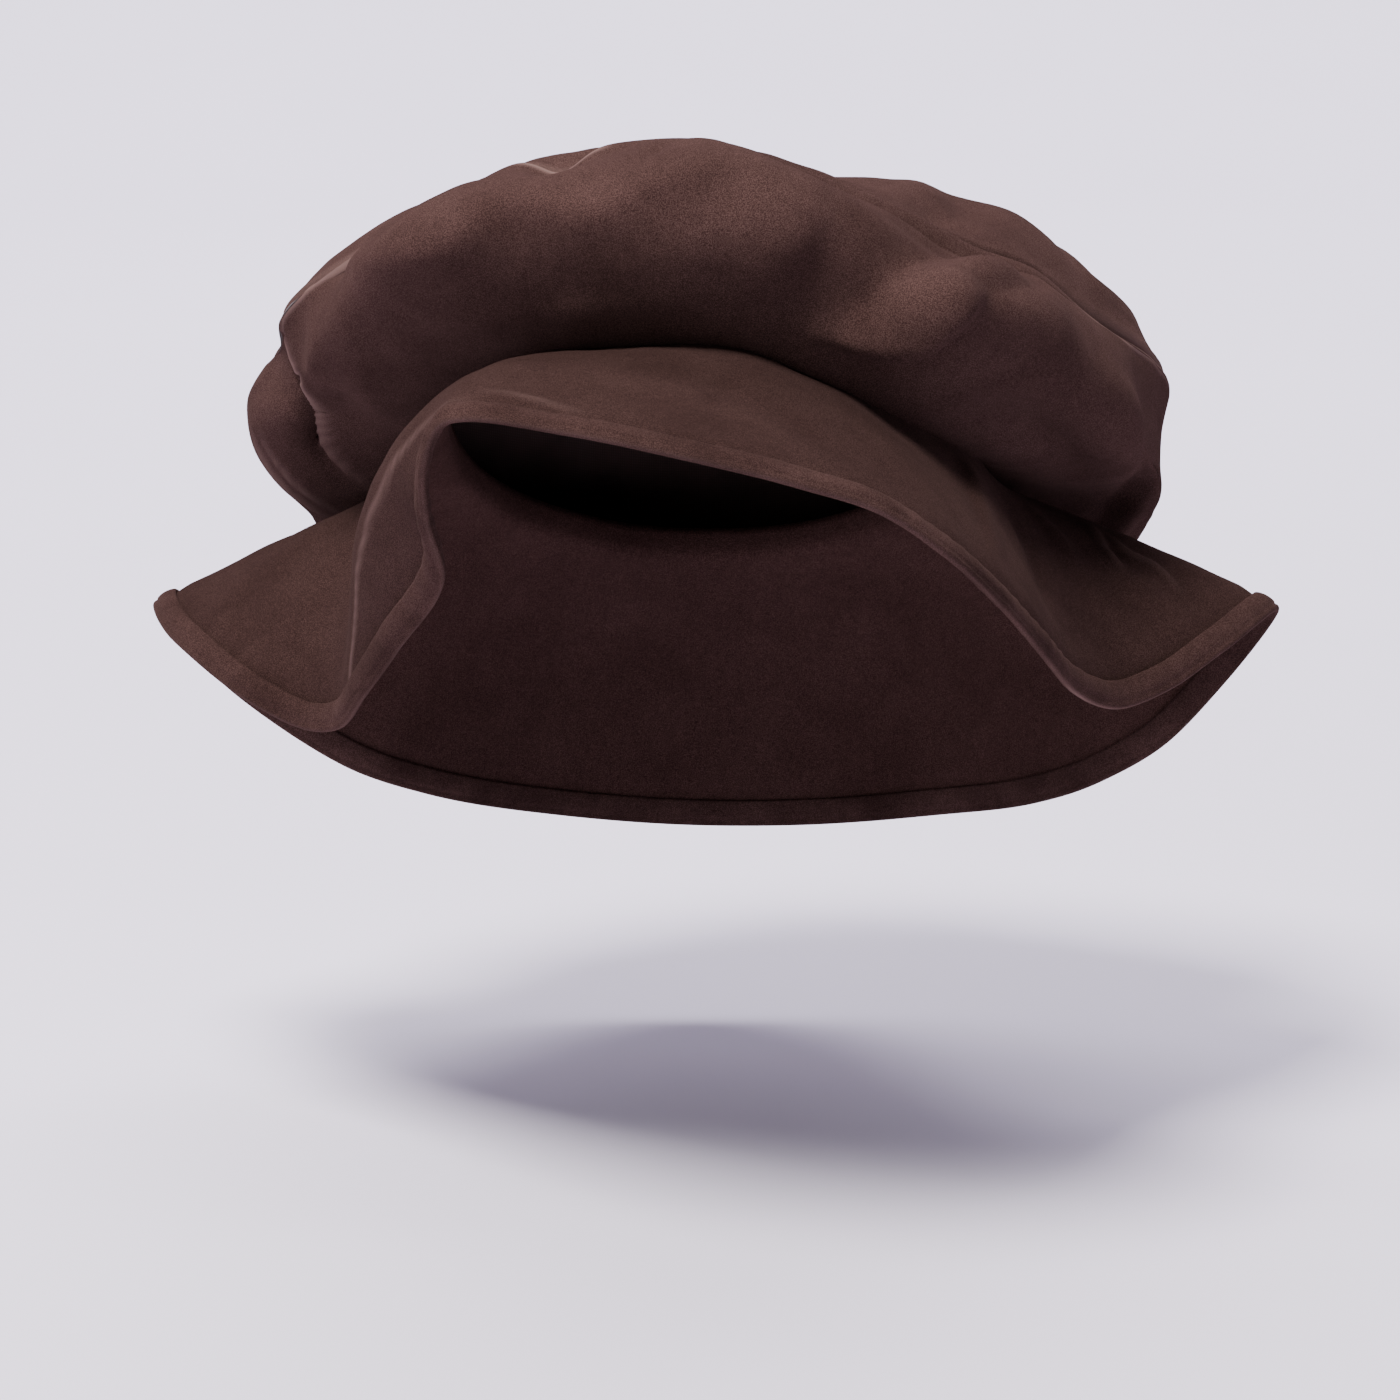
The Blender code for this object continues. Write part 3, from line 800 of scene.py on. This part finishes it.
def velvet(name, dark, light, sheen, nap=0.0):
    """Short-piled cotton velvet: blotches where the nap lies another way, speckle of single tufts."""
    material, tree, shader, place = new_material(name)
    lay = node(tree, "ShaderNodeMapping", Rotation=(0.0, 0.0, nap), Scale=(1.0, 1.0, 0.35))
    tree.links.new(place, lay.inputs["Vector"])
    blotch = noise_at(tree, place, Scale=34.0, Detail=4.0, Roughness=0.62, Distortion=0.4)
    streak = noise_at(tree, lay.outputs["Vector"], Scale=420.0, Detail=3.0, Roughness=0.6)
    tuft = noise_at(tree, place, Scale=3600.0, Detail=1.0, Roughness=0.6)
    soft = noise_at(tree, place, Scale=150.0, Detail=3.0, Roughness=0.6)
    ground = ramp(tree, blotch, 0.34, 0.68, dark, light)
    streaks = ramp(tree, streak, 0.3, 0.72, (0.95,) * 3, (1.05,) * 3)
    tufts = ramp(tree, tuft, 0.40, 0.66, (0.62,) * 3, (1.70,) * 3)
    # painted sheen highlight: the colour is mixed towards a light brown as far as the mesh's attribute
    # says
    painted_sheen = node(tree, "ShaderNodeAttribute", attribute_name="painted_sheen")
    sheen_mix = node(tree, "ShaderNodeMix", data_type="RGBA", blend_type="MIX")
    sheen_mix.inputs[7].default_value = (*PAINTED_SHEEN_COLOUR, 1.0)
    tree.links.new(painted_sheen.outputs["Fac"], sheen_mix.inputs[0])
    tree.links.new(multiplied(tree, multiplied(tree, ground, streaks), tufts), sheen_mix.inputs[6])
    tree.links.new(sheen_mix.outputs[2], shader.inputs["Base Color"])
    wave = bumped(tree, soft, strength=0.25, distance=0.0012)
    pile = bumped(tree, tuft, strength=0.30, distance=0.0002)
    tree.links.new(wave.outputs["Normal"], pile.inputs["Normal"])
    tree.links.new(pile.outputs["Normal"], shader.inputs["Normal"])
    tree.links.new(ramp(tree, streak, 0.3, 0.7, (0.72,) * 3, (0.92,) * 3), shader.inputs["Roughness"])
    shader.inputs["Specular IOR Level"].default_value = 0.0
    shader.inputs["Sheen Weight"].default_value = sheen
    shader.inputs["Sheen Roughness"].default_value = 0.5
    shader.inputs["Sheen Tint"].default_value = (0.62, 0.40, 0.36, 1.0)
    return material


def woven_back(name):
    """The velvet's flat woven back, which shows inside the crown."""
    material, tree, shader, place = new_material(name)
    threads = []
    for way in ("X", "Z"):
        wave = node(tree, "ShaderNodeTexWave", wave_type="BANDS", bands_direction=way, Scale=560.0,
                    Distortion=0.6)
        tree.links.new(place, wave.inputs["Vector"])
        threads.append(wave.outputs["Color"])
    weave = multiplied(tree, *threads)
    ground = ramp(tree, weave, 0.0, 0.7, (0.018, 0.009, 0.008), (0.040, 0.021, 0.018))
    uneven = ramp(tree, noise_at(tree, place, Scale=60.0, Detail=4.0), 0.3, 0.7, (0.75,) * 3, (1.15,) * 3)
    tree.links.new(multiplied(tree, ground, uneven), shader.inputs["Base Color"])
    bump = bumped(tree, weave, strength=0.35, distance=0.0002)
    tree.links.new(bump.outputs["Normal"], shader.inputs["Normal"])
    shader.inputs["Roughness"].default_value = 0.88
    shader.inputs["Specular IOR Level"].default_value = 0.2
    shader.inputs["Sheen Weight"].default_value = 0.15
    return material


def finish_sheet(piece, node_name):
    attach(piece, "root")
    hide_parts(node_name)


crown_velvet = velvet("crown_velvet", (0.035, 0.0188, 0.0168), (0.048, 0.0263, 0.0235), sheen=0.03)
# the brim's velvet is a darker copy of the crown's: painted shade where the crown overhangs the brim
shaded_brim_velvet = velvet("shaded_brim_velvet", (0.023, 0.0122, 0.0109), (0.031, 0.0168, 0.0149), sheen=0.03,
                     nap=0.9)
under_velvet = velvet("under_velvet", (0.027, 0.0137, 0.0121), (0.035, 0.0180, 0.0160), sheen=0.02,
                      nap=0.4)
edge_velvet = velvet("edge_velvet", (0.024, 0.0127, 0.0113), (0.041, 0.0222, 0.0198), sheen=0.04,
                     nap=1.6)
crown_back = woven_back("crown_back")

# azimuths of the crown's sections, closer together where CLOSER says so
tenths = np.arange(3600) / 10.0
closeness = 1.0 + 0.0 * tenths
for middle, half_width, more in CLOSER:
    closeness += more * bell(tenths - middle, half_width)
share_round = np.cumsum(closeness) / closeness.sum()
ring = np.interp(np.arange(CROWN_SECTIONS) / CROWN_SECTIONS, share_round, tenths)
ones = np.ones(CROWN_SECTIONS)

# the seam between the crown's side and its top: its line, the way into it and the way across it
rim = crown_side(ring, ones)
round_rim = unit(crown_side(ring + 0.5, ones) - crown_side(ring - 0.5, ones))
up_side = unit(rim - crown_side(ring, 0.95 * ones))
over_top = unit(crown_top(ring, 0.95 * ones) - rim)
into = -unit(unit(np.cross(round_rim, up_side)) + unit(np.cross(round_rim, over_top)))
apart = 0.5 * (SEAM_GAP + CROWN_WALL) * unit(np.cross(round_rim, into))


def rolled_in(surface, side):
    """Rows that take a sheet over the rounded lip into the seam."""
    # the curve leaves along the sheet, as read a little before its start, and ends along the seam
    before = surface(ring, (SEAM_SHARE - 0.012) * ones)
    start = surface(ring, SEAM_SHARE * ones)
    corner = rim + side * apart + SEAM_DEPTH * into
    end = corner + SEAM_LIP * into
    turn = corner + 0.25 * (start - corner) - 0.2 * SEAM_DEPTH * into
    length = np.linalg.norm(corner - start, axis=-1, keepdims=True)
    lead = start + 0.6 * length * unit(start - before) - 0.9 * SEAM_DEPTH * into
    return [bezier(start, lead, turn, end, t * ones) for t in np.linspace(0, 1, ROLL_ROWS + 1)[1:]]


def seam_sheen(rows):
    """Painted sheen highlight along the rounded lip at the seam, uneven round the hat."""
    across = bell(np.arange(rows) - 0.40 * rows, 0.25 * rows)
    along = SEAM_SHEEN_LEAST + 0.0 * ring
    for middle, half_width in SEAM_SHEENS:
        along += bell(turn_from(ring, middle), half_width)
    along *= 0.85 + 0.15 * np.sin(17 * np.radians(ring))
    return np.clip(across[:, None] * along, 0, 1)


# crown side
coarse = np.linspace(0.0, FINE_SHARE, SIDE_ROWS)
fine = np.linspace(FINE_SHARE, SEAM_SHARE, FINE_ROWS)
azimuth, share = np.meshgrid(ring, np.concatenate((coarse, fine[1:])))
side = crown_side(azimuth, share)
square = normals(side)
push, sheen_paint = fold_push(side, square, crown_side, FOLDS["side"])
push += lumps(side, "side")
from_rim = np.linalg.norm(side - rim[None], axis=-1)
from_opening = np.linalg.norm(side - side[:1], axis=-1)
push += seam_puckers(azimuth, from_rim, height=0.0004, count=38, reach=0.009, seed=1.0)
push += seam_puckers(azimuth, from_opening, height=0.0002, count=58, reach=0.010, seed=2.0)
fade = np.clip(share / OPENING_FADE, 0, 1) * np.clip((SEAM_SHARE - share) / SIDE_RIM_FADE, 0, 1)
side = side + (push * fade)[..., None] * square
side, pleat_sheen = pleated(side, square, crown_side)
sheen_paint = np.maximum(sheen_paint, pleat_sheen)
lip = turned_up(side[0], -0.0004 * unit(side[2] - side[0]), rise=0.0012)
roll = rolled_in(crown_side, -1.0)
side = np.concatenate((lip, side, roll))
sheen_paint = np.concatenate((np.zeros((len(lip), CROWN_SECTIONS)), sheen_paint, seam_sheen(len(roll))))
half_wall = 0.5 * CROWN_WALL * normals(side)
crown_side_velvet = loft("crown_side_velvet", side + half_wall, side - half_wall,
                         [crown_velvet, crown_back], sheen_paint)

# crown top, whose rows run from its middle to the seam and then into the hat
azimuth, share = np.meshgrid(ring, np.linspace(TOP_FIRST_SHARE, SEAM_SHARE, TOP_ROWS))
top = crown_top(azimuth, share)
square = -normals(top)
push, sheen_paint = fold_push(top, square, crown_top, FOLDS["top"])
push += lumps(top, "top")
from_rim = np.linalg.norm(top - rim[None], axis=-1)
push += seam_puckers(azimuth, from_rim, height=0.0004, count=38, reach=0.010, seed=1.6)
fade = np.clip((share - TOP_FIRST_SHARE) / CENTRE_FADE, 0, 1)
fade = fade * np.clip((SEAM_SHARE - share) / TOP_RIM_FADE, 0, 1)
top = top + (push * fade)[..., None] * square
roll = rolled_in(crown_top, 1.0)
pressed = [roll[-1] + down * into - over * apart for down, over in PRESSED]
top = np.concatenate((top, roll, pressed))
sheen_paint = np.concatenate((sheen_paint * fade, 0.6 * seam_sheen(len(roll)), np.zeros((len(pressed), CROWN_SECTIONS))))
half_wall = -0.5 * CROWN_WALL * normals(top)
centre = [(0.0, TOP_CENTRE_BACK, TOP_CENTRE_UP + lift) for lift in (0.5 * CROWN_WALL, -0.5 * CROWN_WALL)]
crown_top_velvet = loft("crown_top_velvet", (top + half_wall)[:, ::-1], (top - half_wall)[:, ::-1],
                        [crown_velvet, crown_back], sheen_paint[:, ::-1], centre)

# brim: two layers on either side of one middle surface, and the band bound over their edge
round_brim = np.arange(BRIM_SECTIONS) * 360.0 / BRIM_SECTIONS
length = np.linalg.norm(brim_edge(round_brim) - opening(round_brim), axis=-1)
inner_depths = np.linspace(1.0, OUTER_SHARE, INNER_ROWS)[:, None] * length
outer_width = OUTER_SHARE * length - LAYER_END
outer_depths = np.linspace(0.97, 0.0, OUTER_ROWS)[:, None] * outer_width + LAYER_END
depths = np.concatenate((inner_depths, outer_depths))
azimuth = np.tile(round_brim, (len(depths), 1))
share = 1.0 - depths / length
middle_brim = brim(azimuth, share)
square = -normals(middle_brim)
push, sheen_paint = fold_push(middle_brim, square, brim, FOLDS["brim"])
push += lumps(middle_brim, "brim")
push += seam_puckers(azimuth, length - depths, height=0.00015, count=60, reach=0.010, seed=3.0)
# the band holds the cloth flatter, and beside it there are gathers of its own
in_from_band = np.clip((depths - EDGE_BAND) / 0.006, 0, 1)
push *= (0.35 + 0.65 * in_from_band) * np.clip(share / 0.05, 0, 1)
from_band = np.abs(depths - EDGE_BAND)
push += seam_puckers(azimuth, from_band, height=0.00018, count=118, reach=0.005, seed=4.0)
middle_brim = middle_brim + push[..., None] * square
lip = turned_up(middle_brim[0], -0.0026 * unit(middle_brim[1] - middle_brim[0]), rise=0.0030)
middle_brim = np.concatenate((lip, middle_brim))
lip_depths = depths[:1] + 0.001 * np.arange(len(lip), 0, -1)[:, None]
depths = np.concatenate((lip_depths, depths))
sheen_paint = np.concatenate((np.zeros((len(lip), BRIM_SECTIONS)), sheen_paint))
square = -normals(middle_brim)
# the layers thin from 1.6 band widths in from the edge, and are thinnest from 0.9 on
thinned = np.clip((1.6 * EDGE_BAND - depths) / (0.7 * EDGE_BAND), 0, 1)
wall = BRIM_WALL - (BRIM_WALL - LAYER_THIN) * thinned
near_face = 0.5 * GAP * square
far_face = (0.5 * GAP + wall)[..., None] * square
brim_upper_velvet = loft("brim_upper_velvet", (middle_brim + far_face)[:, ::-1],
                         (middle_brim + near_face)[:, ::-1], [shaded_brim_velvet], sheen_paint[:, ::-1])
brim_under_velvet = loft("brim_under_velvet", (middle_brim - near_face)[:, ::-1],
                         (middle_brim - far_face)[:, ::-1], [under_velvet], 0.0 * sheen_paint)


def brim_face(depth, height):
    """Points that stand a height above the brim's middle surface, a depth in from its edge."""
    rows = np.arange(len(depths))
    row = np.array([np.interp(-depth, -column, rows) for column in depths.T])
    low = np.clip(row.astype(int), 0, len(depths) - 2)
    t = (row - low)[:, None]
    i = np.arange(BRIM_SECTIONS)
    at = (1 - t) * middle_brim[low, i] + t * middle_brim[low + 1, i]
    out = (1 - t) * square[low, i] + t * square[low + 1, i]
    edge_way = unit(middle_brim[-1] - middle_brim[-3])
    return at + max(LAYER_END - depth, 0.0) * edge_way + height * unit(out)


# the band is a strip folded over the layers' ends: its inner face follows them, its outer face swells
inner_height = 1.5 * GAP + LAYER_THIN
outer_height = inner_height + EDGE_WALL
a = np.radians(round_brim)
gathers = 0.12 * np.sin(118 * a + 2 * np.sin(9 * a)) + 0.25 * np.sin(23 * a + np.sin(5 * a))
swell = EDGE_PUFF * (1.0 + gathers)
# how far each row has come from the band's sewn edge to the fold, and then how far it has turned there
section = [(u, 0.0) for u in np.linspace(0.0, 1.0, BAND_ROWS)]
section += [(1.0, turn) for turn in np.radians((30, 60, 90))]
outer_rows = []
inner_rows = []
for face in (1.0, -1.0):
    outer_half = []
    inner_half = []
    for u, turn in section:
        depth = EDGE_BAND + u * (outer_height - EDGE_BAND)
        puffed = (swell * np.sin(np.pi * min(0.06 + 1.04 * u, 1.0))**0.5)[:, None]
        outer = face * (outer_height * np.cos(turn) + puffed)
        inner = face * inner_height * np.cos(turn)
        outer_half.append(brim_face(depth - outer_height * np.sin(turn), outer))
        inner_half.append(brim_face(depth - inner_height * np.sin(turn), inner))
    outer_rows += outer_half if face > 0 else outer_half[-2::-1]
    inner_rows += inner_half if face > 0 else inner_half[-2::-1]
band = np.array(outer_rows)[:, ::-1]
from_fold = np.arange(len(band)) - 0.5 * (len(band) - 1)
# painted sheen highlight along the band's fold, stronger at some places round the brim
band_sheen = BAND_SHEEN_LEAST + 0.0 * round_brim
for middle, half_width, more in BAND_SHEENS:
    band_sheen += more * bell(round_brim - middle, half_width)
sheen_paint = bell(from_fold, 1.1)[:, None] * band_sheen * (0.8 + 0.2 * np.sin(31 * a + 2 * np.sin(7 * a)))
brim_edge_velvet = loft("brim_edge_velvet", band, np.array(inner_rows)[:, ::-1], [edge_velvet], sheen_paint)

# each sheet is attached to the hat's body, and the part that it stands for is hidden
for piece, node_name, points, shape, rests_on in (
    (crown_side_velvet, "crown_side", side, "gathered", ["brim_upper_velvet"]),
    (crown_top_velvet, "crown_top", top[:, ::-1], "stretched", ["crown_side_velvet"]),
    (brim_upper_velvet, "brim_upper", middle_brim, "draped", ["brim_under_velvet"]),
    (brim_under_velvet, "brim_under", middle_brim, "draped", ["brim_edge_velvet"]),
    (brim_edge_velvet, "brim_edge", band, "folded", ["brim_upper_velvet", "brim_under_velvet"]),
):
    if piece is brim_edge_velvet:
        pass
    elif piece is crown_side_velvet:
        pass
    elif piece is crown_top_velvet:
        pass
    else:
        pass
    finish_sheet(piece, node_name)

# floor and backdrop, one plain pale sweep
FLOOR_Z = -0.20
FLOOR_FRONT = -4.0
FLOOR_BACK = 1.6
SWEEP_RADIUS = 1.2
SWEEP_HEIGHT = 6.0
SWEEP_HALF_WIDTH = 6.0
sweep = [(FLOOR_FRONT, 0.0), (FLOOR_BACK, 0.0)]
sweep += [(FLOOR_BACK + SWEEP_RADIUS * np.sin(t), SWEEP_RADIUS - SWEEP_RADIUS * np.cos(t))
          for t in np.linspace(0.1, np.pi / 2, 14)]
sweep.append((FLOOR_BACK + SWEEP_RADIUS, SWEEP_HEIGHT))
vertices = [(x, y, FLOOR_Z + z) for y, z in sweep for x in (-SWEEP_HALF_WIDTH, SWEEP_HALF_WIDTH)]
faces = [(2 * i, 2 * i + 1, 2 * i + 3, 2 * i + 2) for i in range(len(sweep) - 1)]
mesh = bpy.data.meshes.new("studio_sweep")
mesh.from_pydata(vertices, [], faces)
mesh.polygons.foreach_set("use_smooth", [True] * len(mesh.polygons))
studio = bpy.data.objects.new("studio_sweep", mesh)
bpy.context.scene.collection.objects.link(studio)
paper, tree, shader, place = new_material("studio_paper")
grain = noise_at(tree, place, Scale=3.0, Detail=2.0)
tone = ramp(tree, grain, 0.2, 0.8, (0.80, 0.75, 0.885), (0.84, 0.79, 0.925))
tree.links.new(tone, shader.inputs["Base Color"])
shader.inputs["Roughness"].default_value = 0.9
shader.inputs["Specular IOR Level"].default_value = 0.1
mesh.materials.append(paper)


def softbox(name, place, aim, size, watts, colour):
    light = bpy.data.lights.new(name, "AREA")
    light.shape = "RECTANGLE"
    light.size, light.size_y = size
    light.energy = watts
    light.color = colour
    lamp = bpy.data.objects.new(name, light)
    lamp.location = place
    lamp.rotation_euler = (Vector(aim) - Vector(place)).to_track_quat("-Z", "Y").to_euler()
    bpy.context.scene.collection.objects.link(lamp)


softbox("key_left", place=(-0.56, -0.80, 1.88), aim=(0, 0, 0), size=(0.8, 0.6), watts=102.0,
        colour=(1.0, 0.97, 0.95))
softbox("back_wash", place=(0.0, 1.0, 2.2), aim=(0, 2.6, 0.4), size=(3.0, 0.8), watts=132.0,
        colour=(0.97, 0.96, 1.0))
softbox("fill_front", place=(-0.9, -1.8, 0.2), aim=(0, 0, 0), size=(1.2, 1.0), watts=12.0,
        colour=(0.98, 0.97, 1.0))

world = bpy.data.worlds.new("studio_air")
bpy.context.scene.world = world
world.use_nodes = True
world.node_tree.nodes["Background"].inputs["Color"].default_value = (0.86, 0.85, 0.92, 1.0)
world.node_tree.nodes["Background"].inputs["Strength"].default_value = 0.23

# camera: in front of the hat and above it, aimed 73 mm below the head opening's middle, so that this
# shows at its pixel of the photograph. PIXELS_PER_METRE is the picture's scale at the hat's distance.
CAMERA_DISTANCE = 1.6
CAMERA_ABOVE_DEGREES = 15.0
IMAGE_SIZE = 1400.0
PIXELS_PER_METRE = 3450.0
OPENING_PIXEL = (712.0, 449.0)
SENSOR_WIDTH = 36.0
down = np.radians(CAMERA_ABOVE_DEGREES)
forward = np.array((0.0, np.cos(down), -np.sin(down)))
upward = np.array((0.0, np.sin(down), np.cos(down)))
aim_left = (0.5 * IMAGE_SIZE - OPENING_PIXEL[0]) / PIXELS_PER_METRE
aim_up = (OPENING_PIXEL[1] - 0.5 * IMAGE_SIZE) / PIXELS_PER_METRE
lens = bpy.data.cameras.new("camera")
lens.sensor_width = SENSOR_WIDTH
lens.lens = SENSOR_WIDTH * CAMERA_DISTANCE * PIXELS_PER_METRE / IMAGE_SIZE
lens.clip_end = 20.0
camera = bpy.data.objects.new("camera", lens)
camera.location = aim_left * LEFT + aim_up * upward - CAMERA_DISTANCE * forward
camera.rotation_euler = (np.pi / 2 - down, 0.0, 0.0)
bpy.context.scene.collection.objects.link(camera)
bpy.context.scene.camera = camera

bpy.context.view_layer.update()
